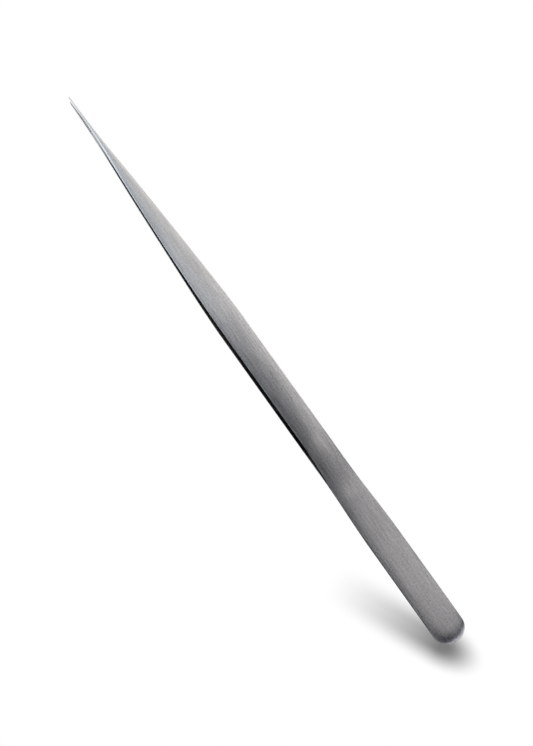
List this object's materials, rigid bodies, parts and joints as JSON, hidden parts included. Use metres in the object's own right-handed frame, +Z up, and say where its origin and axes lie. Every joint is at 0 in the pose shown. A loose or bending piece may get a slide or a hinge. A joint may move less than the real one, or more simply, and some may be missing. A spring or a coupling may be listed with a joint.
{
  "type": "aquascaping tweezers",
  "caption": "Long straight steel tweezers for planting aquariums: sprung arms welded at a rounded handle, spread for the fingers and tapering to grooved needle tips.",
  "frame": {"origin": "middle of the length and of the width, on the surface that the tweezers lie on", "axes": "+X along the length towards the tips, +Y across the arms, +Z up, the way the arms spread"},
  "size_m": [0.27, 0.0132, 0.0118],
  "materials": {
    "brushed_steel": "brushed lengthwise",
    "weld_steel": "fused, dull"
  },
  "bodies": {
    "handle": {"upper_handle_plate": "brushed_steel", "lower_handle_plate": "brushed_steel", "spot_welds": "weld_steel", "upper_leaf_spring": "brushed_steel", "lower_leaf_spring": "brushed_steel"},
    "upper_arm": {"upper_finger_grip": "brushed_steel", "upper_shoulder": "brushed_steel", "upper_tip": "brushed_steel"},
    "lower_arm": {"lower_finger_grip": "brushed_steel", "lower_shoulder": "brushed_steel", "lower_tip": "brushed_steel"}
  },
  "joints": [
    {"name": "upper_arm_pinch", "type": "hinge", "parent": "handle", "child": "upper_arm", "pos_m": [-0.053, 0, 0.00863], "axis": [0, 1, 0], "range_deg": [0, 0.758], "stiffness_Nm_per_rad": 19, "deforming": ["upper_leaf_spring"]},
    {"name": "lower_arm_pinch", "type": "hinge", "parent": "handle", "child": "lower_arm", "pos_m": [-0.053, 0, 0.00317], "axis": [0, -1, 0], "range_deg": [0, 0.758], "stiffness_Nm_per_rad": 19, "deforming": ["lower_leaf_spring"]}
  ]
}
